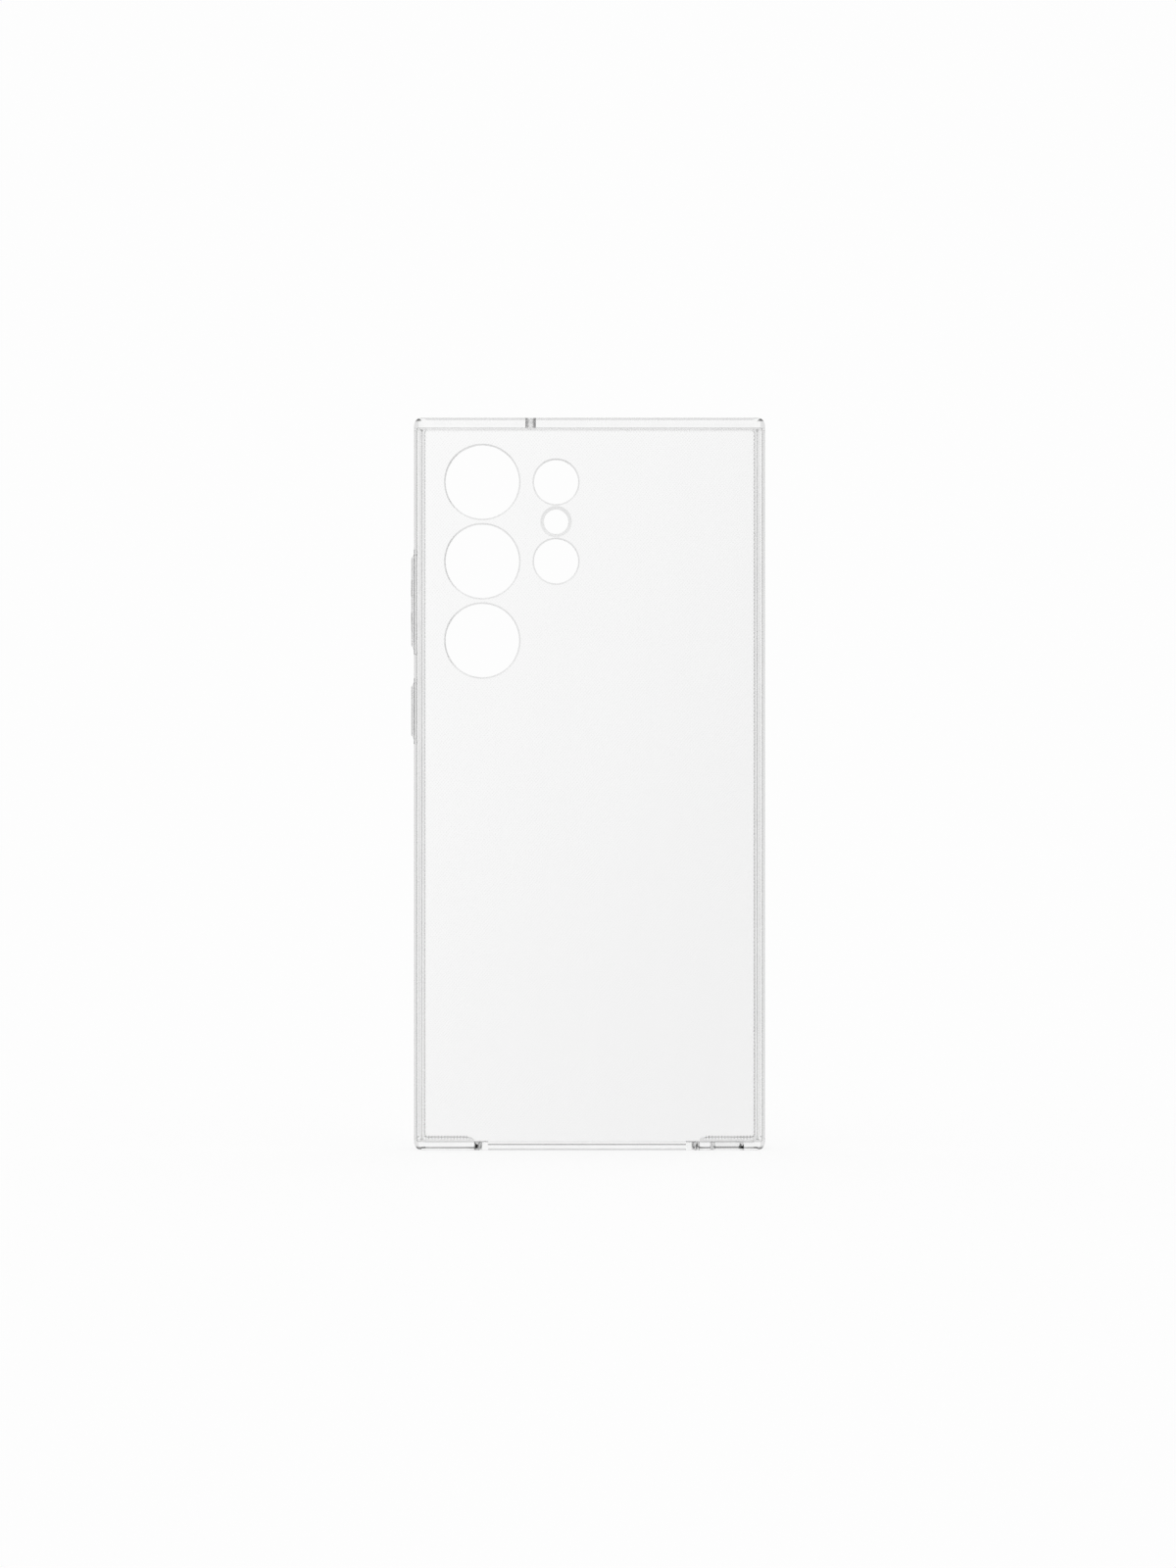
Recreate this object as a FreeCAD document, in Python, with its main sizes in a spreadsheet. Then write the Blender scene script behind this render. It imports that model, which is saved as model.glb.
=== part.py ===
"""Slim clear case for a large phone, standing upright on its bottom edge.

A rigid clear plate forms the back. A soft clear frame is moulded round it and holds the phone at
its four edges. Two raised key covers sit on thin flexing webs in the frame's left wall.

Frame: X across the width (right when looking at the back), Y through the depth (the back's outer
face at -Y, the open side at +Y), Z up. The origin is below the middle of the case, at its bottom
edge. Sizes are in millimetres.
"""

import FreeCAD, Part
import os

import Sketcher
from FreeCAD import Placement, Rotation, Vector

SIZES = [
    # what the case holds
    ("pocket_width", 78.2, "phone width plus its fit"),
    ("pocket_height", 163.4, "phone height, which the soft ends grip"),
    ("pocket_depth", 8.9, "phone thickness"),
    # walls of the soft frame
    ("side_wall", 1.1, "long walls"),
    ("top_wall", 2.2, "top wall"),
    ("bottom_wall", 1.8, "bottom wall"),
    ("lip_rise", 1.8, "front lip above the phone's face"),
    ("lip_side", 1.25, "lip's reach over the long edges"),
    ("lip_top", 0.15, "lip's reach over the top edge"),
    ("lip_bottom", 0.75, "lip's reach at the bottom corners"),
    # roundings of the soft frame
    ("outline_radius", 1.8, "corners, seen from the back"),
    ("side_slope_run", 1.35, "slope of the long edges at the back, across"),
    ("side_slope_depth", 2.6, "slope of the long edges at the back, through the depth"),
    ("side_back_radius", 1.1, "both ends of that slope"),
    ("side_front_radius", 0.4, "long edges, outside, front"),
    ("top_back_radius", 0.85, "top edge, outside, back"),
    ("bottom_back_radius", 0.45, "bottom edge, outside, back"),
    ("end_front_radius", 0.9, "top and bottom edges, outside, front"),
    ("pocket_back_radius", 1.15, "long edges, inside, back"),
    ("pocket_front_radius", 1.1, "long edges, inside, front"),
    ("pocket_end_radius", 0.5, "corners of the pocket"),
    ("lip_corner_radius", 0.6, "corners of the screen opening"),
    ("lip_edge_radius", 0.8, "front edge of the screen opening"),
    # rigid plate and its seat in the frame
    ("plate_thick", 1.2, "plate thickness"),
    ("plate_margin", 2.7, "frame showing beside the plate"),
    ("plate_margin_top", 2.75, "frame showing above the plate"),
    ("plate_margin_bottom", 2.1, "frame showing below the plate"),
    ("plate_corner_radius", 0.4, "plate's corners"),
    ("tongue_reach", 0.4, "step that the frame is moulded over"),
    ("tongue_thick", 0.6, "thickness of that step"),
    ("seam", 0.03, "bond line round the plate and the webs"),
    # camera openings in the plate
    ("lens_across", 24.5, "large lens column, left of the middle"),
    ("lens_top_drop", 14.7, "top lens centre below the top edge"),
    ("lens_pitch", 18.12, "from lens to lens"),
    ("lens_bore", 16.8, "large lens opening"),
    ("lens_chamfer", 0.35, "chamfer of each lens opening, across"),
    ("lens_chamfer_depth", 0.5, "the same, through the plate"),
    ("small_across", 7.65, "small lens column, left of the middle"),
    ("small_bore", 10.1, "small lens opening"),
    ("flash_bore", 5.6, "flash opening"),
    ("flash_chamfer", 0.8, "chamfer of the flash opening, across"),
    ("flash_chamfer_depth", 1.0, "the same, through the plate"),
    # openings in the end walls
    ("socket_left", 26.5, "charging opening, left of the middle"),
    ("socket_right", 25.3, "charging opening, right of the middle"),
    ("socket_ledge", 0.7, "ledge left between the opening and the plate's inner face"),
    ("socket_relief", 0.52, "that ledge below the phone's end"),
    ("socket_radius", 2.9, "charging opening, back corners"),
    ("socket_rim", 0.35, "rounding of that ledge's inner rim"),
    ("socket_foot", 0.3, "rounding where that ledge meets the pocket's floor"),
    ("socket_edge", 1.05, "rounding of the charging opening's outer edge"),
    ("horn_run", 2.0, "slope of the lip beside the charging opening, across"),
    ("horn_drop", 0.55, "slope of the lip beside the charging opening, down"),
    ("pen_across", 31.5, "pen slot, right of the middle"),
    ("pen_width", 7.8, "pen slot across"),
    ("pen_depth", 5.4, "pen slot through the depth"),
    ("pen_radius", 1.6, "pen slot corners"),
    ("mic_across", 13.5, "microphone hole, left of the middle"),
    ("mic_bore", 2.4, "microphone hole"),
    ("edge_line", -0.3, "depth at which the keys, pen slot and microphone lie"),
    # key covers and their webs
    ("volume_centre", 125.4, "volume key height"),
    ("volume_length", 22.2, "volume key cover"),
    ("side_centre", 100.4, "side key height"),
    ("side_length", 13.3, "side key cover"),
    ("key_width", 3.2, "key covers through the depth"),
    ("key_rise", 0.67, "key covers above the wall"),
    ("key_end_slope", 1.2, "run of the slope at each end of a cover"),
    ("key_edge_slope", 0.45, "run of the slope along each cover"),
    ("web_border", 0.9, "web showing round each cover"),
    ("web_thick", 0.4, "web thickness"),
    ("web_sink", 0.25, "web below the wall's outer face"),
    ("key_gap", 0.05, "gap between a cover and its web"),
]

OVERSHOOT = 2.0  # how far a cutting profile runs past the solid it cuts
DEPTH = "(Sizes.plate_thick + Sizes.pocket_depth + Sizes.lip_rise)"
WIDTH = "(Sizes.pocket_width + 2 * Sizes.side_wall)"
HEIGHT = "(Sizes.bottom_wall + Sizes.pocket_height + Sizes.top_wall)"
BACK = f"(-{DEPTH} / 2)"
FLOOR = f"({BACK} + Sizes.plate_thick)"
LIP_UNDER = f"({FLOOR} + Sizes.pocket_depth)"
SEAM_Y = f"({FLOOR} - Sizes.tongue_thick)"
LENS_Z = f"({HEIGHT} - Sizes.lens_top_drop)"

doc = FreeCAD.newDocument("phone_case")
sizes = doc.addObject("Spreadsheet::Sheet", "Sizes")
for row, (alias, number, note) in enumerate(SIZES, start=1):
    sizes.set(f"A{row}", alias)
    sizes.set(f"B{row}", str(number))
    sizes.set(f"C{row}", note)
    sizes.setAlias(f"B{row}", alias)
doc.recompute()


def value(expression):
    """The number that an expression on the sheet gives now."""
    return float(sizes.evalExpression(str(expression)))


def near(a, b):
    """Whether two lengths are the same place on the model."""
    return abs(a - b) < 1e-4


# ---- bodies, sketches and features -------------------------------------------------------------


def new_body(name):
    """An empty body whose label is the piece's name."""
    body = doc.addObject("PartDesign::Body", name)
    body.Label = name
    body.Placement = Placement(Vector(0, 0, 0), Rotation())
    return body


def new_sketch(body, name, plane, offset):
    """A sketch parallel to one of the body's own origin planes, offset along that plane's normal."""
    sketch = body.newObject("Sketcher::SketchObject", name)
    support = [f for f in body.Origin.OriginFeatures if f.Role == plane][0]
    sketch.AttachmentSupport = [(support, "")]
    sketch.MapMode = "FlatFace"
    sketch.setExpression(".AttachmentOffset.Base.z", str(offset))
    return sketch


def bind(sketch, kind, where, expression):
    """Add a dimension between the given points and bind it to an expression."""
    index = sketch.addConstraint(Sketcher.Constraint(kind, *where, value(expression)))
    sketch.setExpression(f"Constraints[{index}]", str(expression))


def place_point(sketch, geometry, point, across, up):
    """Fix a point of a sketch's geometry at a place measured from the sketch's origin."""
    bind(sketch, "DistanceX", (-1, 1, geometry, point), across)
    bind(sketch, "DistanceY", (-1, 1, geometry, point), up)


def draw_polygon(sketch, corners):
    """A closed outline of straight lines through corners given as pairs of expressions."""
    first = sketch.GeometryCount
    points = [Vector(value(across), value(up), 0) for across, up in corners]
    count = len(points)
    for i in range(count):
        sketch.addGeometry(Part.LineSegment(points[i], points[(i + 1) % count]), False)
    for i in range(count):
        after = first + (i + 1) % count
        sketch.addConstraint(Sketcher.Constraint("Coincident", first + i, 2, after, 1))
        place_point(sketch, first + i, 1, *corners[i])


def draw_rectangle(sketch, left, right, low, high):
    """A closed rectangle between four expressions."""
    draw_polygon(sketch, [(left, low), (right, low), (right, high), (left, high)])


def draw_rounded_rectangle(sketch, left, right, low, high, *radii):
    """A rectangle whose corners are arcs that meet its sides tangentially.

    One radius serves all corners; four go round from the low left corner to the low right one.
    """
    first = sketch.GeometryCount
    radii = radii * 4 if len(radii) == 1 else radii
    centres = [
        (f"{left} + {radii[0]}", f"{low} + {radii[0]}"),
        (f"{right} - {radii[1]}", f"{low} + {radii[1]}"),
        (f"{right} - {radii[2]}", f"{high} - {radii[2]}"),
        (f"{left} + {radii[3]}", f"{high} - {radii[3]}"),
    ]
    turns = [(-1, 0), (0, -1), (1, 0), (0, 1)]
    for i, (across, up) in enumerate(centres):
        r = value(radii[i])
        centre = Vector(value(across), value(up), 0)
        start = centre + Vector(*turns[i], 0) * r
        end = centre + Vector(*turns[(i + 1) % 4], 0) * r
        middle = centre + (Vector(*turns[i], 0) + Vector(*turns[(i + 1) % 4], 0)).normalize() * r
        sketch.addGeometry(Part.Arc(start, middle, end), False)
    for i in range(4):
        start = sketch.getPoint(first + i, 2)
        end = sketch.getPoint(first + (i + 1) % 4, 1)
        sketch.addGeometry(Part.LineSegment(start, end), False)
    for i, (across, up) in enumerate(centres):
        line = first + 4 + i
        sketch.addConstraint(Sketcher.Constraint("Tangent", first + i, 2, line, 1))
        sketch.addConstraint(Sketcher.Constraint("Tangent", line, 2, first + (i + 1) % 4, 1))
        place_point(sketch, first + i, 3, across, up)
        bind(sketch, "Radius", (first + i,), radii[i])


def draw_circle(sketch, across, up, diameter):
    """A circle of a bound diameter about a bound centre."""
    centre = Vector(value(across), value(up), 0)
    index = sketch.addGeometry(Part.Circle(centre, Vector(0, 0, 1), value(diameter) / 2), False)
    place_point(sketch, index, 3, across, up)
    bind(sketch, "Diameter", (index,), diameter)


def pad(body, sketch, length, backwards):
    """Extrude a sketch along its plane's normal, or backwards against it."""
    feature = body.newObject("PartDesign::Pad", f"{sketch.Name}_pad")
    feature.Profile = sketch
    feature.setExpression("Length", str(length))
    feature.Reversed = backwards
    sketch.Visibility = False
    doc.recompute()
    return feature


def pocket(body, sketch, length, along_normal):
    """Cut a sketch's area against its plane's normal, or along it. A cut that misses is an error."""
    before = body.Shape.Volume
    feature = body.newObject("PartDesign::Pocket", f"{sketch.Name}_pocket")
    feature.Profile = sketch
    feature.setExpression("Length", str(length))
    feature.Reversed = along_normal
    sketch.Visibility = False
    doc.recompute()
    if not body.Shape.Volume < before - 1e-3:
        raise RuntimeError(f"{feature.Name} cuts nothing")
    return feature


def dress(body, kind, name, size, chosen):
    """A fillet or chamfer of a bound size on each edge that the test chooses."""
    tip = body.Tip
    names = [f"Edge{i}" for i, edge in enumerate(tip.Shape.Edges, start=1) if chosen(edge)]
    if not names:
        raise RuntimeError(f"{name} finds no edge")
    feature = body.newObject(f"PartDesign::{kind}", name)
    feature.Base = (tip, names)
    feature.setExpression("Radius" if kind == "Fillet" else "Size", str(size))
    doc.recompute()
    return feature


def straight_along(edge, axis):
    """Whether an edge is a straight line along X, Y or Z."""
    if edge.Degenerated or not isinstance(edge.Curve, Part.Line):
        return False
    return near(abs(getattr(edge.Curve.Direction, axis)), 1)


# ---- the soft frame ----------------------------------------------------------------------------


def frame_outside(body):
    """The frame's outer form: a block with sloped long edges, trimmed to its two outlines."""
    half_width, half_depth = f"({WIDTH} / 2)", f"({DEPTH} / 2)"
    face_edge = f"({half_width} - Sizes.side_slope_run)"
    slope_end = f"({BACK} + Sizes.side_slope_depth)"
    block = new_sketch(body, "frame_block", "XY_Plane", "0")
    section = [
        (f"-{face_edge}", BACK),
        (face_edge, BACK),
        (half_width, slope_end),
        (half_width, half_depth),
        (f"-{half_width}", half_depth),
        (f"-{half_width}", slope_end),
    ]
    draw_polygon(block, section)
    pad(body, block, HEIGHT, False)
    slope_ends, front = (value(BACK), value(slope_end)), value(half_depth)

    def slope_edge(edge):
        depth = edge.CenterOfMass.y
        return straight_along(edge, "z") and any(near(depth, end) for end in slope_ends)

    def long_front_edge(edge):
        return straight_along(edge, "z") and near(edge.CenterOfMass.y, front)

    dress(body, "Fillet", "frame_side_back_round", "Sizes.side_back_radius", slope_edge)
    dress(body, "Fillet", "frame_side_front_round", "Sizes.side_front_radius", long_front_edge)

    outline = new_sketch(body, "frame_outline", "XZ_Plane", f"{half_depth} + {OVERSHOOT}")
    beyond_width, beyond_height = f"({half_width} + {OVERSHOOT})", f"({HEIGHT} + {OVERSHOOT})"
    draw_rectangle(outline, f"-{beyond_width}", beyond_width, -OVERSHOOT, beyond_height)
    draw_rounded_rectangle(
        outline, f"-{half_width}", half_width, "0", HEIGHT, "Sizes.outline_radius"
    )
    pocket(body, outline, f"{DEPTH} + {2 * OVERSHOOT}", False)

    profile = new_sketch(body, "frame_profile", "YZ_Plane", beyond_width)
    beyond_depth = f"({half_depth} + {OVERSHOOT})"
    draw_rectangle(profile, f"-{beyond_depth}", beyond_depth, -OVERSHOOT, beyond_height)
    front_radius = "Sizes.end_front_radius"
    radii = ("Sizes.bottom_back_radius", front_radius, front_radius, "Sizes.top_back_radius")
    draw_rounded_rectangle(profile, f"-{half_depth}", half_depth, "0", HEIGHT, *radii)
    pocket(body, profile, f"{WIDTH} + {2 * OVERSHOOT}", False)


def frame_inside(body):
    """The phone's pocket with its rounded long edges, and the screen opening inside the lip."""
    half_pocket = "(Sizes.pocket_width / 2)"
    low, high = "Sizes.bottom_wall", "(Sizes.bottom_wall + Sizes.pocket_height)"
    space = new_sketch(body, "phone_space", "XZ_Plane", f"-{FLOOR}")
    draw_rectangle(space, f"-{half_pocket}", half_pocket, low, high)
    pocket(body, space, "Sizes.pocket_depth", False)
    inner = value(half_pocket)

    def long_edge(depth):
        def chosen(edge):
            centre = edge.CenterOfMass
            at_wall = straight_along(edge, "z") and near(abs(centre.x), inner)
            return at_wall and near(centre.y, depth)

        return chosen

    def pocket_corner(edge):
        return straight_along(edge, "y") and near(abs(edge.CenterOfMass.x), inner)

    back_edge, front_edge = long_edge(value(FLOOR)), long_edge(value(LIP_UNDER))
    dress(body, "Fillet", "pocket_back_round", "Sizes.pocket_back_radius", back_edge)
    dress(body, "Fillet", "pocket_front_round", "Sizes.pocket_front_radius", front_edge)
    dress(body, "Fillet", "pocket_end_round", "Sizes.pocket_end_radius", pocket_corner)

    lip_left = f"({half_pocket} - Sizes.lip_side)"
    lip_low, lip_high = f"({low} + Sizes.lip_bottom)", f"({high} - Sizes.lip_top)"
    dip = f"({lip_low} - Sizes.horn_drop)"
    screen = new_sketch(body, "screen_opening", "XZ_Plane", f"-{LIP_UNDER} + {OVERSHOOT}")
    corners = [
        (f"-{lip_left}", lip_low),
        ("-(Sizes.socket_left + Sizes.horn_run)", lip_low),
        ("-Sizes.socket_left", dip),
        ("Sizes.socket_right", dip),
        ("Sizes.socket_right + Sizes.horn_run", lip_low),
        (lip_left, lip_low),
        (lip_left, lip_high),
        (f"-{lip_left}", lip_high),
    ]
    draw_polygon(screen, corners)
    pocket(body, screen, f"Sizes.lip_rise + {2 * OVERSHOOT}", False)

    lip_edge = value(lip_left)

    def lip_corner(edge):
        return straight_along(edge, "y") and near(abs(edge.CenterOfMass.x), lip_edge)

    dress(body, "Fillet", "lip_corners", "Sizes.lip_corner_radius", lip_corner)
    front, limit = value(f"{DEPTH} / 2"), value(half_pocket)

    def lip_edge_line(edge):
        box = edge.BoundBox
        on_front = near(box.YMin, front) and near(box.YMax, front)
        return on_front and box.XMin > -limit and box.XMax < limit

    dress(body, "Fillet", "lip_edge_round", "Sizes.lip_edge_radius", lip_edge_line)


def frame_plate_seat(body):
    """The window that the plate fills, with the groove that grips the plate's tongue."""
    for name, grow, start, length in (
        ("plate_window", "0", BACK, "Sizes.plate_thick"),
        ("tongue_groove", "Sizes.tongue_reach", SEAM_Y, "(Sizes.tongue_thick + Sizes.seam)"),
    ):
        sketch = new_sketch(body, name, "XZ_Plane", f"-{start}")
        edges = plate_edges(grow)
        draw_rounded_rectangle(sketch, *edges, f"(Sizes.plate_corner_radius + {grow})")
        pocket(body, sketch, length, False)


def plate_edges(grow):
    """Left, right, low and high edge of the plate's window, grown outwards by an expression."""
    half = f"({WIDTH} / 2 - Sizes.plate_margin + {grow})"
    low = f"(Sizes.plate_margin_bottom - {grow})"
    high = f"({HEIGHT} - Sizes.plate_margin_top + {grow})"
    return f"-{half}", half, low, high


def frame_end_openings(body):
    """The charging opening and pen slot in the bottom wall, and the microphone hole in the top."""
    ledge = f"({FLOOR} + Sizes.socket_ledge)"
    front = f"({DEPTH} / 2 + {OVERSHOOT})"
    lip_top = "(Sizes.bottom_wall + Sizes.lip_bottom)"
    socket = new_sketch(body, "charging_opening", "XY_Plane", f"{lip_top} + {OVERSHOOT}")
    draw_rectangle(socket, "-Sizes.socket_left", "Sizes.socket_right", ledge, front)
    pocket(body, socket, f"{lip_top} + {2 * OVERSHOOT}", False)
    depth = value(ledge)

    def socket_corner(edge):
        return straight_along(edge, "z") and near(edge.CenterOfMass.y, depth)

    dress(body, "Fillet", "charging_corners", "Sizes.socket_radius", socket_corner)
    relief = new_sketch(body, "charging_relief", "XY_Plane", f"{lip_top} + {OVERSHOOT}")
    clear = "Sizes.socket_radius + Sizes.socket_rim"
    left, right = f"(-Sizes.socket_left + {clear})", f"(Sizes.socket_right - ({clear}))"
    draw_rectangle(relief, left, right, FLOOR, front)
    ledge_top = "(Sizes.bottom_wall - Sizes.socket_relief)"
    pocket(body, relief, f"{lip_top} + {OVERSHOOT} - {ledge_top}", False)
    inner_face = value(ledge_top)

    def socket_rim(edge):
        centre = edge.CenterOfMass
        return straight_along(edge, "x") and near(centre.y, depth) and near(centre.z, inner_face)

    dress(body, "Fillet", "charging_rim", "Sizes.socket_rim", socket_rim)
    floor = value(FLOOR)

    def ledge_foot(edge):
        centre = edge.CenterOfMass
        return straight_along(edge, "x") and near(centre.y, floor) and near(centre.z, inner_face)

    dress(body, "Fillet", "charging_foot", "Sizes.socket_foot", ledge_foot)

    edge = new_sketch(body, "charging_edge", "YZ_Plane", left)
    behind = f"-({DEPTH} / 2 + {OVERSHOOT})"
    beyond = (f"({behind} - {OVERSHOOT})", f"({ledge} + {OVERSHOOT})")
    draw_rectangle(edge, *beyond, -OVERSHOOT, f"({lip_top} + {OVERSHOOT})")
    draw_rounded_rectangle(edge, behind, ledge, "0", lip_top, "Sizes.socket_edge")
    pocket(body, edge, f"{right} - {left}", True)

    pen = new_sketch(body, "pen_slot", "XY_Plane", f"Sizes.bottom_wall + {OVERSHOOT}")
    draw_rounded_rectangle(
        pen,
        "(Sizes.pen_across - Sizes.pen_width / 2)",
        "(Sizes.pen_across + Sizes.pen_width / 2)",
        "(Sizes.edge_line - Sizes.pen_depth / 2)",
        "(Sizes.edge_line + Sizes.pen_depth / 2)",
        "Sizes.pen_radius",
    )
    pocket(body, pen, f"Sizes.bottom_wall + {2 * OVERSHOOT}", False)

    mic = new_sketch(body, "microphone_hole", "XY_Plane", f"{HEIGHT} + {OVERSHOOT}")
    draw_circle(mic, "-Sizes.mic_across", "Sizes.edge_line", "Sizes.mic_bore")
    pocket(body, mic, f"Sizes.top_wall + {2 * OVERSHOOT}", False)


def key_edges(centre, length, grow):
    """Near and far side in depth, and low and high end, of a key's outline grown by an expression."""
    near_side = f"(Sizes.edge_line - Sizes.key_width / 2 - {grow})"
    far_side = f"(Sizes.edge_line + Sizes.key_width / 2 + {grow})"
    low = f"({centre} - {length} / 2 - {grow})"
    high = f"({centre} + {length} / 2 + {grow})"
    return near_side, far_side, low, high


KEYS = {
    "volume": ("Sizes.volume_centre", "Sizes.volume_length"),
    "side": ("Sizes.side_centre", "Sizes.side_length"),
}


def frame_key_windows(body):
    """The two windows in the left wall that the webs and key covers fill."""
    for key, (centre, length) in KEYS.items():
        window = new_sketch(
            body, f"{key}_key_window", "YZ_Plane", f"-({WIDTH} / 2 + {OVERSHOOT})"
        )
        draw_rectangle(window, *key_edges(centre, length, "Sizes.web_border"))
        pocket(body, window, f"Sizes.side_wall + {2 * OVERSHOOT}", True)


def make_bumper_frame():
    """The soft frame, with everything that is cut through it."""
    body = new_body("bumper_frame")
    frame_outside(body)
    frame_inside(body)
    frame_plate_seat(body)
    frame_end_openings(body)
    frame_key_windows(body)
    return body


# ---- the rigid plate ---------------------------------------------------------------------------


def make_back_panel():
    """The rigid plate: its face, the tongue round its inner side, and the camera openings."""
    body = new_body("back_panel")
    for name, grow, start, length in (
        ("plate_face", "-Sizes.seam", BACK, "Sizes.plate_thick"),
        ("plate_tongue", "(Sizes.tongue_reach - Sizes.seam)", f"{SEAM_Y} + Sizes.seam", None),
    ):
        sketch = new_sketch(body, name, "XZ_Plane", f"-({start})")
        edges = plate_edges(grow)
        draw_rounded_rectangle(sketch, *edges, f"(Sizes.plate_corner_radius + {grow})")
        pad(body, sketch, length or "Sizes.tongue_thick - Sizes.seam", True)

    openings = new_sketch(body, "camera_openings", "XZ_Plane", f"-{BACK} + {OVERSHOOT}")
    for step in range(3):
        height = f"({LENS_Z} - {step} * Sizes.lens_pitch)"
        draw_circle(openings, "-Sizes.lens_across", height, "Sizes.lens_bore")
    for step in (0, 1):
        height = f"({LENS_Z} - {step} * Sizes.lens_pitch)"
        draw_circle(openings, "-Sizes.small_across", height, "Sizes.small_bore")
    flash = f"({LENS_Z} - Sizes.lens_pitch / 2)"
    draw_circle(openings, "-Sizes.small_across", flash, "Sizes.flash_bore")
    pocket(body, openings, f"Sizes.plate_thick + {2 * OVERSHOOT}", False)
    back = value(BACK)

    def outer_rim(*diameters):
        radii = [value(diameter) / 2 for diameter in diameters]

        def chosen(edge):
            if edge.Degenerated or not isinstance(edge.Curve, Part.Circle):
                return False
            if not near(edge.CenterOfMass.y, back):
                return False
            return any(near(edge.Curve.Radius, radius) for radius in radii)

        return chosen

    for name, rims in (
        ("lens", outer_rim("Sizes.lens_bore", "Sizes.small_bore")),
        ("flash", outer_rim("Sizes.flash_bore")),
    ):
        size = f"Sizes.{name}_chamfer"
        chamfer = dress(body, "Chamfer", f"{name}_rims", size, rims)
        chamfer.ChamferType = "Two distances"
        chamfer.setExpression("Size2", f"{size}_depth")
        doc.recompute()
    return body


# ---- key covers and webs -----------------------------------------------------------------------


def make_key_web(key):
    """The thin sheet that joins a key cover to the wall round it."""
    centre, length = KEYS[key]
    body = new_body(f"{key}_key_web")
    sketch = new_sketch(body, f"{key}_web_ring", "YZ_Plane", f"-({WIDTH} / 2 - Sizes.web_sink)")
    draw_rectangle(sketch, *key_edges(centre, length, "(Sizes.web_border - Sizes.seam)"))
    draw_rectangle(sketch, *key_edges(centre, length, "Sizes.key_gap"))
    pad(body, sketch, "Sizes.web_thick", False)
    return body


def make_key_cover(key):
    """A raised key cover, whose outer edges slope down to the wall."""
    centre, length = KEYS[key]
    body = new_body(f"{key}_key_cover")
    inner = f"({WIDTH} / 2 - Sizes.web_sink - Sizes.web_thick)"
    outer = f"({WIDTH} / 2 + Sizes.key_rise)"
    sketch = new_sketch(body, f"{key}_cover_outline", "YZ_Plane", f"-{outer}")
    draw_rectangle(sketch, *key_edges(centre, length, "0"))
    pad(body, sketch, f"{outer} - {inner}", False)

    near_side, far_side, low, high = key_edges(centre, length, "0")
    wall = f"(-{WIDTH} / 2)"
    across = new_sketch(body, f"{key}_end_slopes", "XZ_Plane", f"-({near_side} - {OVERSHOOT})")
    for end, sign in ((low, "+"), (high, "-")):
        inside = f"({end} {sign} Sizes.key_end_slope)"
        draw_polygon(across, [(wall, end), (f"-{outer}", end), (f"-{outer}", inside)])
    pocket(body, across, f"Sizes.key_width + {2 * OVERSHOOT}", False)

    along = new_sketch(body, f"{key}_edge_slopes", "XY_Plane", f"{high} + {OVERSHOOT}")
    for side, sign in ((near_side, "+"), (far_side, "-")):
        inside = f"({side} {sign} Sizes.key_edge_slope)"
        draw_polygon(along, [(wall, side), (f"-{outer}", side), (f"-{outer}", inside)])
    pocket(body, along, f"{length} + {2 * OVERSHOOT}", False)
    return body


# ---- build, check and write --------------------------------------------------------------------

pieces = [make_back_panel(), make_bumper_frame()]
for key in KEYS:
    pieces.append(make_key_web(key))
    pieces.append(make_key_cover(key))
doc.recompute()

for item in doc.Objects:
    if "Invalid" in item.State or "Error" in item.State:
        raise RuntimeError(f"{item.Name} did not build: {item.State}")
for piece in pieces:
    if piece.Shape.isNull() or not piece.Shape.isValid() or len(piece.Shape.Solids) != 1:
        raise RuntimeError(f"{piece.Label} is not one valid solid")

os.makedirs("parts", exist_ok=True)
for piece in pieces:
    piece.Shape.exportStep(f"parts/{piece.Label}.step")
    box = piece.Shape.BoundBox
    print(
        f"{piece.Label}: volume {piece.Shape.Volume:.1f} mm3, "
        f"X {box.XMin:.2f} to {box.XMax:.2f}, "
        f"Y {box.YMin:.2f} to {box.YMax:.2f}, "
        f"Z {box.ZMin:.2f} to {box.ZMax:.2f}"
    )
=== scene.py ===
"""A clear phone case seen from the back: a hard plate in a soft bumper frame, with two flexing side keys.

Everything is in metres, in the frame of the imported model: X runs across the case, Y from the back
plate to the screen side, and Z up from the bottom edge.
"""

import math

import bpy
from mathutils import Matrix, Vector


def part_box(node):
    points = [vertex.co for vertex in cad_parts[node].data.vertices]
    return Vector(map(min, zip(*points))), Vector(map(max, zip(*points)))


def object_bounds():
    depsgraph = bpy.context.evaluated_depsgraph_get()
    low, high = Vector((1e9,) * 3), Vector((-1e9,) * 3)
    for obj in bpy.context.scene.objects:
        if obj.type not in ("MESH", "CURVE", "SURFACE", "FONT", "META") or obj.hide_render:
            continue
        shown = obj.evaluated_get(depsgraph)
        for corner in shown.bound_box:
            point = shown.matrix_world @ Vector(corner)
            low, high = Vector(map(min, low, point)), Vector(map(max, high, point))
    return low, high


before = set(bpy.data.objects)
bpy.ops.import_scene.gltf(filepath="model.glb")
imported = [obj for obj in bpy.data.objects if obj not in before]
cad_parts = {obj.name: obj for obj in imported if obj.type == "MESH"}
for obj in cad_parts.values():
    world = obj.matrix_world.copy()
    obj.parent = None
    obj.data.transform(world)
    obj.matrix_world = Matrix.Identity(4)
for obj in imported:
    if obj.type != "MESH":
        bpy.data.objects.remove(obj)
cad_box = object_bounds()

MM = 0.001

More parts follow.
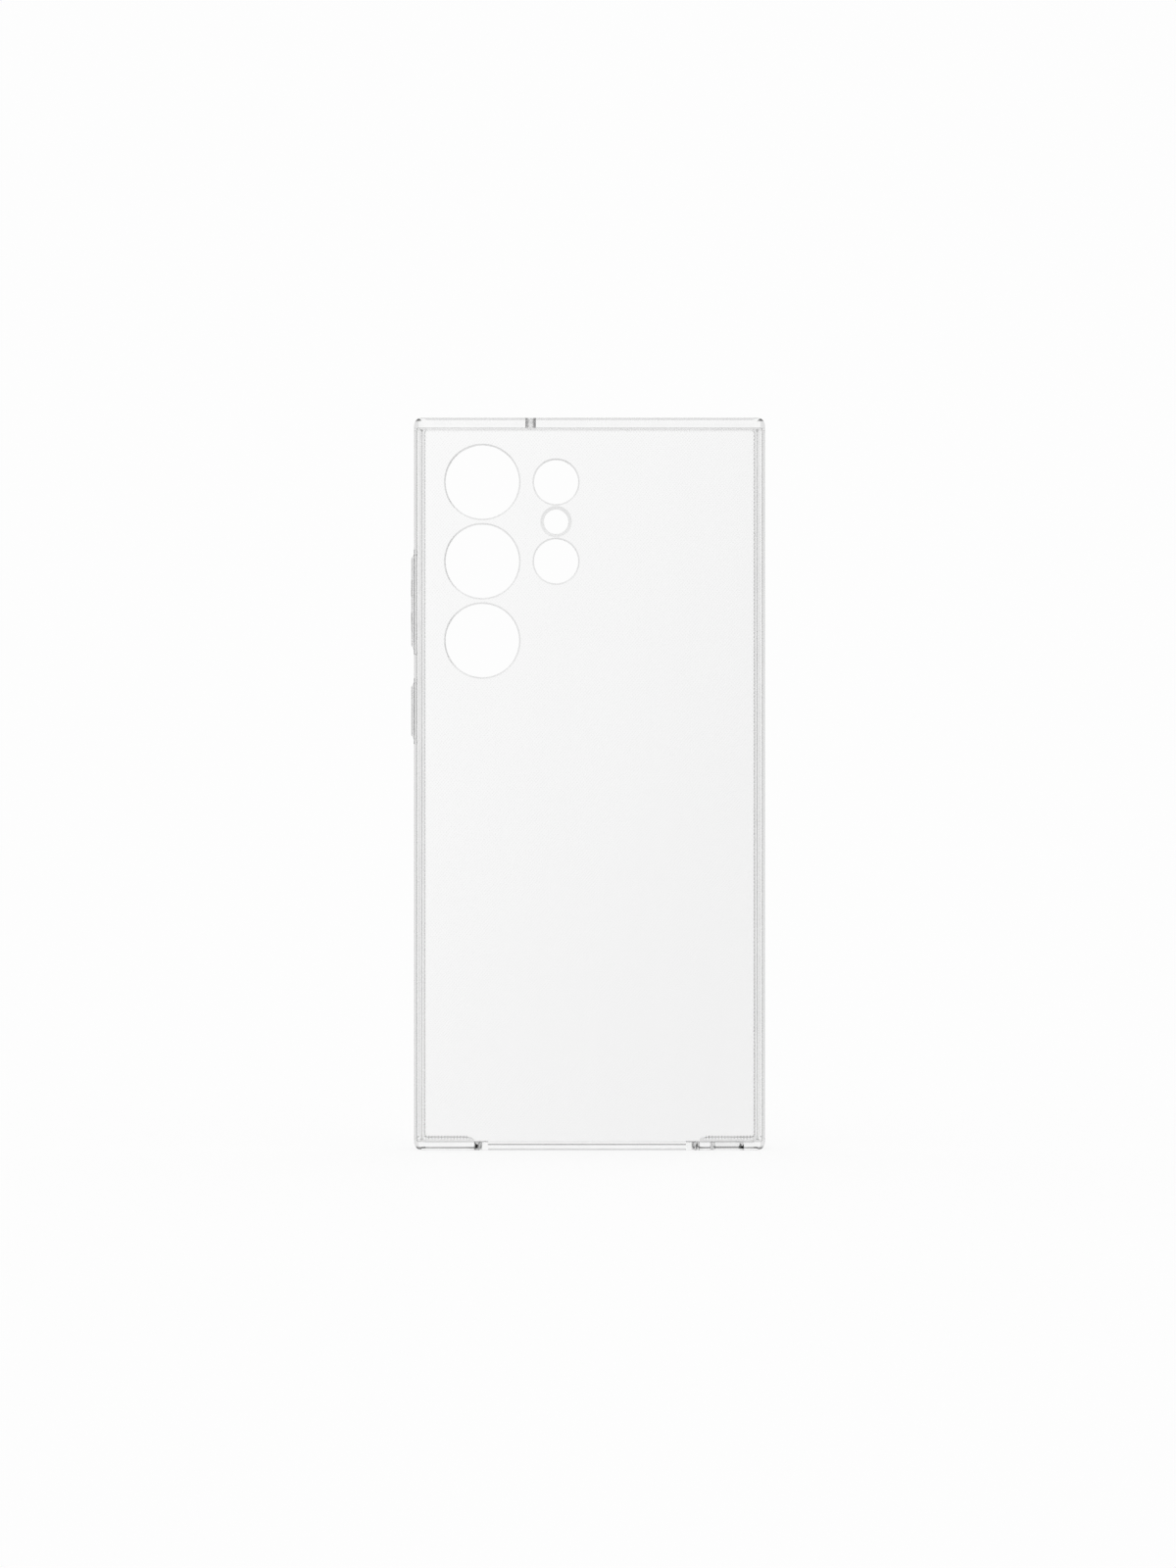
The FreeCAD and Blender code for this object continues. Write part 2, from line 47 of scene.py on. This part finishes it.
# Camera: level and square on to the back, far enough away to flatten the case.
CAMERA_DISTANCE = 1.3
WIDEST_AT = 2.6 * MM  # the walls are widest this far in front of the back face
VIEW_HEIGHT = 359.0 * MM  # what the picture takes in at that depth
CAMERA_ASIDE = -0.35 * MM
CAMERA_DROP = 0.02 * MM
SENSOR = 36.0
CLIP_START, CLIP_END = 0.05, 50

# Studio levels, as linear light where 1 is white.
BACKDROP = 0.984
SOFT_LIGHT = 1.0
SIDE_LEVEL = 0.66  # grey flags either side of the backdrop
FRONT_LEVEL = 0.4  # the dim room behind the camera
BOX_DARK, BOX_LIGHT = 0.03, 0.9  # the soft box behind the camera, past its edge and inside it

# Where those levels lie. A direction's share along Y is 1 straight behind the case, -1 at the camera.
WHITE_CONE = math.radians(3)
GREY_CONE = math.radians(58)
DIM_FROM, DIM_TO = -0.5, -0.85
BOX_FROM, BOX_TO = -0.9, -0.98
BOX_LEAN_X, BOX_LEAN_Z = -7.5, 3.6  # the slope of the soft box's edge
BOX_EDGE_START, BOX_EDGE_END = -0.55, 0.6
OPEN_FROM, OPEN_TO = 0.42, 0.26  # straight through the clear walls, white past this share along Y
LOW_CARD_FROM, LOW_CARD_TO = 0.17, 0.25  # and on two white cards low down, one on each side

FLOOR_RADIUS = 6.0
FLOOR_SIDES = 64
FLOOR_DROP = 0.02 * MM
FLOOR_GLOW = 0.85  # share of the floor's tone that doesn't take a shadow

# Hard clear plate.
PLATE_IOR = 1.585
PLATE_TINT = 0.985
STREAK_TINT = 0.008  # how much the streaks lighten and darken it
STREAK_SIZE = 7 * MM
STREAK_STRETCH = 0.06
STREAK_LEAN = math.radians(24)
DOT_PITCH_X, DOT_PITCH_Z = 0.72 * MM, 0.85 * MM
DOT_RADIUS = 0.19 * MM
DOT_TINT = 0.935
DOT_HEIGHT = 0.006 * MM
INNER_FACE_DEPTH = 0.05 * MM  # how near the inner face a point has to be to carry dots
SMEAR_SIZE = 18 * MM
SMEAR_ROUGHNESS = 0.02
RIM_ROUGHNESS = 0.32

# Soft clear frame, webs and key covers.
SOFT_IOR = 1.5
SOFT_TINT_LOW, SOFT_TINT_HIGH = 0.965, 0.99
TINT_PATCH_SIZE = 6 * MM
RUB_SIZE = 2.5 * MM
PEEL_SIZE = 0.9 * MM
FRAME_ROUGHNESS, FRAME_PEEL = 0.006, 0.0005 * MM
KEY_ROUGHNESS, KEY_PEEL = 0.02, 0.001 * MM
MIC_ASIDE = -13.5 * MM  # the microphone bore through the top wall
MIC_BORE_RADIUS = 1.2 * MM
MIC_ROUGHNESS = 0.45
FACE_MARGIN = 0.1 * MM

FRAME_NODE = "bumper_frame"
PLATE_NODE = "back_panel"
WEB_NODES = ("volume_key_web", "side_key_web")
COVER_NODES = ("volume_key_cover", "side_key_cover")


# ---- node helpers --------------------------------------------------------------------------------


def feed(tree, socket, source):
    """Gives a socket a plain number, or wires another node's output into it."""
    if isinstance(source, (int, float)):
        socket.default_value = source
    else:
        tree.links.new(source, socket)


def maths(tree, operation, *sources):
    """The result of one Math node."""
    node = tree.nodes.new("ShaderNodeMath")
    node.operation = operation
    for socket, source in zip(node.inputs, sources):
        feed(tree, socket, source)
    return node.outputs[0]


def product(tree, first, *others):
    """Several numbers multiplied together."""
    for other in others:
        first = maths(tree, "MULTIPLY", first, other)
    return first


def ramp(tree, source, low, high, to_low, to_high):
    """A smooth step from one level to another while the source goes from low to high."""
    node = tree.nodes.new("ShaderNodeMapRange")
    node.interpolation_type = "SMOOTHSTEP"
    feed(tree, node.inputs["Value"], source)
    node.inputs["From Min"].default_value = low
    node.inputs["From Max"].default_value = high
    node.inputs["To Min"].default_value = to_low
    node.inputs["To Max"].default_value = to_high
    return node.outputs["Result"]


def mixed(tree, factor, first, second):
    """A number between two others."""
    node = tree.nodes.new("ShaderNodeMix")
    node.data_type = "FLOAT"
    for socket, source in zip((node.inputs[0], node.inputs[2], node.inputs[3]), (factor, first, second)):
        feed(tree, socket, source)
    return node.outputs[0]


def parts_of(tree, vector):
    """The X, Y and Z of a vector."""
    split = tree.nodes.new("ShaderNodeSeparateXYZ")
    tree.links.new(vector, split.inputs[0])
    return split.outputs


def cloud(tree, place, size, detail):
    """Soft noise between 0 and 1 whose blotches are about the given size."""
    node = tree.nodes.new("ShaderNodeTexNoise")
    node.inputs["Scale"].default_value = 1 / size
    node.inputs["Detail"].default_value = detail
    tree.links.new(place, node.inputs["Vector"])
    return node.outputs["Fac"]


def light_path(tree, kind):
    """What the Light Path node says of the ray."""
    return tree.nodes.new("ShaderNodeLightPath").outputs[kind]


def bent_ray(tree):
    """1 for a ray that the case, or any gloss, has reflected or refracted, and 0 for any other."""
    return maths(tree, "MAXIMUM", light_path(tree, "Is Glossy Ray"), light_path(tree, "Is Transmission Ray"))


def new_material(name):
    """A material with an empty node tree, and its output node."""
    material = bpy.data.materials.new(name)
    material.use_nodes = True
    tree = material.node_tree
    tree.nodes.clear()
    return material, tree, tree.nodes.new("ShaderNodeOutputMaterial")


def clear_shader(tree, output, ior):
    """The see-through plastic that every piece is made of."""
    shader = tree.nodes.new("ShaderNodeBsdfPrincipled")
    shader.inputs["IOR"].default_value = ior
    shader.inputs["Transmission Weight"].default_value = 1.0
    tree.links.new(shader.outputs["BSDF"], output.inputs["Surface"])
    return shader


def grey(tree, level):
    """A neutral colour from one level."""
    node = tree.nodes.new("ShaderNodeCombineColor")
    for socket in node.inputs:
        feed(tree, socket, level)
    return node.outputs[0]


def raise_by(tree, shader, height, distance):
    """Lets a height field tilt the shader's surface."""
    bump = tree.nodes.new("ShaderNodeBump")
    bump.inputs["Distance"].default_value = distance
    feed(tree, bump.inputs["Height"], height)
    tree.links.new(bump.outputs["Normal"], shader.inputs["Normal"])


# ---- finishes ------------------------------------------------------------------------------------


def dot_grid(tree, across, up):
    """1 inside each micro dot of two interleaved grids, and 0 between the dots."""
    gaps = []
    for shift in (0.0, 0.5):
        squares = []
        for length, pitch in ((across, DOT_PITCH_X), (up, DOT_PITCH_Z)):
            steps = maths(tree, "ADD", maths(tree, "DIVIDE", length, pitch), shift)
            off_centre = maths(tree, "SUBTRACT", maths(tree, "FRACT", steps), 0.5)
            leg = maths(tree, "MULTIPLY", off_centre, pitch)
            squares.append(maths(tree, "MULTIPLY", leg, leg))
        gaps.append(maths(tree, "SQRT", maths(tree, "ADD", *squares)))
    nearest = maths(tree, "MINIMUM", *gaps)
    return ramp(tree, nearest, 0.6 * DOT_RADIUS, 1.3 * DOT_RADIUS, 1, 0)


def streaks(tree, place):
    """Faint leaning streaks, as the plastic flowed into its mould."""
    flow = tree.nodes.new("ShaderNodeMapping")
    flow.inputs["Rotation"].default_value = (0, STREAK_LEAN, 0)
    flow.inputs["Scale"].default_value = (1, 1, STREAK_STRETCH)
    tree.links.new(place, flow.inputs["Vector"])
    return cloud(tree, flow.outputs["Vector"], STREAK_SIZE, 2)


def sloped_face(tree, normal):
    """1 on the sloping rims of the openings, and 0 on faces along the plate or square to it."""
    facing = maths(tree, "ABSOLUTE", parts_of(tree, normal)[1])
    return product(tree, ramp(tree, facing, 0.2, 0.4, 0, 1), ramp(tree, facing, 0.75, 0.95, 1, 0))


def make_plate_finish():
    """Hard clear plastic: micro dots on its inner face, faint moulding streaks, satin rims."""
    material, tree, output = new_material("clear_plate")
    shader = clear_shader(tree, output, PLATE_IOR)
    spot = tree.nodes.new("ShaderNodeTexCoord")
    place = spot.outputs["Object"]
    across, through, up = parts_of(tree, place)

    inner_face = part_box(PLATE_NODE)[1].y
    inside = maths(tree, "GREATER_THAN", through, inner_face - INNER_FACE_DEPTH)
    dots = maths(tree, "MULTIPLY", dot_grid(tree, across, up), inside)
    plain = mixed(tree, streaks(tree, place), PLATE_TINT - STREAK_TINT, PLATE_TINT + STREAK_TINT)
    tree.links.new(grey(tree, mixed(tree, dots, plain, DOT_TINT)), shader.inputs["Base Color"])

    polish = ramp(tree, cloud(tree, place, SMEAR_SIZE, 3), 0.45, 0.75, 0.0, SMEAR_ROUGHNESS)
    rims = sloped_face(tree, spot.outputs["Normal"])
    feed(tree, shader.inputs["Roughness"], mixed(tree, rims, polish, RIM_ROUGHNESS))
    raise_by(tree, shader, dots, DOT_HEIGHT)
    return material


def mic_bore(tree, place):
    """1 on the as-drilled wall of the microphone bore, and 0 elsewhere."""
    across, through, up = parts_of(tree, place)
    from_axis = maths(tree, "ABSOLUTE", maths(tree, "SUBTRACT", across, MIC_ASIDE))
    near = maths(tree, "LESS_THAN", from_axis, MIC_BORE_RADIUS + FACE_MARGIN / 2)
    above_plate = maths(tree, "GREATER_THAN", up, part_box(PLATE_NODE)[1].z + FACE_MARGIN)
    below_top = maths(tree, "LESS_THAN", up, cad_box[1].z - FACE_MARGIN)
    in_depth = maths(tree, "LESS_THAN", maths(tree, "ABSOLUTE", through), MIC_BORE_RADIUS * 2)
    return product(tree, near, above_plate, below_top, in_depth)


def make_soft_finish(name, roughness, peel_height):
    """Soft clear plastic: a faint uneven tint, polished by its mould, with a very fine orange peel."""
    material, tree, output = new_material(name)
    shader = clear_shader(tree, output, SOFT_IOR)
    place = tree.nodes.new("ShaderNodeTexCoord").outputs["Object"]
    patches = cloud(tree, place, TINT_PATCH_SIZE, 3)
    tint = ramp(tree, patches, 0.3, 0.7, SOFT_TINT_LOW, SOFT_TINT_HIGH)
    tree.links.new(grey(tree, tint), shader.inputs["Base Color"])
    polish = ramp(tree, cloud(tree, place, RUB_SIZE, 2), 0.35, 0.7, 0.0, roughness)
    feed(tree, shader.inputs["Roughness"], mixed(tree, mic_bore(tree, place), polish, MIC_ROUGHNESS))
    raise_by(tree, shader, cloud(tree, place, PEEL_SIZE, 1), peel_height)
    return material


def dress(nodes, material):
    """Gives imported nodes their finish."""
    for node in nodes:
        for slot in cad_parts[node].material_slots:
            slot.material = material


# ---- studio --------------------------------------------------------------------------------------


def shaped_tones(tree, across, away, up):
    """White behind the case, grey beside it, a dim room and a soft box's edge behind the camera."""
    sides = ramp(tree, away, math.cos(GREY_CONE), math.cos(WHITE_CONE), SIDE_LEVEL, BACKDROP)
    dimming = ramp(tree, away, DIM_FROM, DIM_TO, 1, FRONT_LEVEL / SIDE_LEVEL)
    room = maths(tree, "MULTIPLY", sides, dimming)
    lean_x = maths(tree, "MULTIPLY", across, BOX_LEAN_X)
    lean = maths(tree, "ADD", lean_x, maths(tree, "MULTIPLY", up, BOX_LEAN_Z))
    soft_box = ramp(tree, lean, BOX_EDGE_START, BOX_EDGE_END, BOX_DARK, BOX_LIGHT)
    return mixed(tree, ramp(tree, away, BOX_FROM, BOX_TO, 0, 1), room, soft_box)


def seen_through(tree, across, away, up):
    """1 for an unreflected ray that heads sideways, towards the camera, or low to either side."""
    to_side = ramp(tree, away, OPEN_FROM, OPEN_TO, 0, 1)
    slant = maths(tree, "MULTIPLY", maths(tree, "ABSOLUTE", across), maths(tree, "MULTIPLY", up, -1))
    low_card = ramp(tree, slant, LOW_CARD_FROM, LOW_CARD_TO, 0, 1)
    unreflected = maths(tree, "LESS_THAN", light_path(tree, "Glossy Depth"), 0.5)
    return maths(tree, "MULTIPLY", maths(tree, "MAXIMUM", to_side, low_card), unreflected)


def make_studio():
    """Soft even light on everything, and shaped tones that only the clear plastic shows."""
    world = bpy.data.worlds.new("studio")
    world.use_nodes = True
    bpy.context.scene.world = world
    tree = world.node_tree
    tree.nodes.clear()
    direction = parts_of(tree, tree.nodes.new("ShaderNodeTexCoord").outputs["Generated"])
    tones = shaped_tones(tree, *direction)
    tones = mixed(tree, seen_through(tree, *direction), tones, BACKDROP)
    level = mixed(tree, bent_ray(tree), SOFT_LIGHT, tones)
    level = mixed(tree, light_path(tree, "Is Camera Ray"), level, BACKDROP)
    background = tree.nodes.new("ShaderNodeBackground")
    tree.links.new(grey(tree, level), background.inputs["Color"])
    output = tree.nodes.new("ShaderNodeOutputWorld")
    tree.links.new(background.outputs["Background"], output.inputs["Surface"])


def make_floor_finish():
    """Pale paint, mostly glow so that the shadow stays faint, and nothing at all to a bent ray."""
    material, tree, output = new_material("pale_floor")
    colour = (BACKDROP, BACKDROP, BACKDROP, 1)
    paint = tree.nodes.new("ShaderNodeBsdfDiffuse")
    paint.inputs["Color"].default_value = colour
    glow = tree.nodes.new("ShaderNodeEmission")
    glow.inputs["Color"].default_value = colour
    clear = tree.nodes.new("ShaderNodeBsdfTransparent")
    sheet = tree.nodes.new("ShaderNodeMixShader")
    sheet.inputs["Fac"].default_value = FLOOR_GLOW
    tree.links.new(paint.outputs["BSDF"], sheet.inputs[1])
    tree.links.new(glow.outputs["Emission"], sheet.inputs[2])
    shown = tree.nodes.new("ShaderNodeMixShader")
    tree.links.new(bent_ray(tree), shown.inputs["Fac"])
    tree.links.new(sheet.outputs[0], shown.inputs[1])
    tree.links.new(clear.outputs["BSDF"], shown.inputs[2])
    tree.links.new(shown.outputs[0], output.inputs["Surface"])
    return material


def make_floor():
    """A plain pale floor under the bottom edge, which takes the case's soft shadow."""
    mesh = bpy.data.meshes.new("floor")
    height = cad_box[0].z - FLOOR_DROP
    turns = [2 * math.pi * step / FLOOR_SIDES for step in range(FLOOR_SIDES)]
    rim = [(FLOOR_RADIUS * math.cos(turn), FLOOR_RADIUS * math.sin(turn), height) for turn in turns]
    mesh.from_pydata(rim, [], [range(FLOOR_SIDES)])
    floor = bpy.data.objects.new("floor", mesh)
    bpy.context.scene.collection.objects.link(floor)
    mesh.materials.append(make_floor_finish())


def make_camera():
    """The camera, level and square on to the back plate."""
    camera = bpy.data.cameras.new("camera")
    camera.sensor_width = SENSOR
    camera.lens = SENSOR * CAMERA_DISTANCE / VIEW_HEIGHT
    camera.clip_start = CLIP_START
    camera.clip_end = CLIP_END
    eye = bpy.data.objects.new("camera", camera)
    bpy.context.scene.collection.objects.link(eye)
    middle = (cad_box[0].z + cad_box[1].z) / 2
    widest = cad_box[0].y + WIDEST_AT
    eye.location = (CAMERA_ASIDE, widest - CAMERA_DISTANCE, middle - CAMERA_DROP)
    eye.rotation_euler = (math.radians(90), 0, 0)
    bpy.context.scene.camera = eye


# ---- the scene -----------------------------------------------------------------------------------

make_camera()
make_studio()
make_floor()

dress([PLATE_NODE], make_plate_finish())
dress([FRAME_NODE, *WEB_NODES], make_soft_finish("clear_soft_frame", FRAME_ROUGHNESS, FRAME_PEEL))
dress(COVER_NODES, make_soft_finish("clear_soft_key", KEY_ROUGHNESS, KEY_PEEL))

bpy.context.scene.view_settings.view_transform = "Standard"
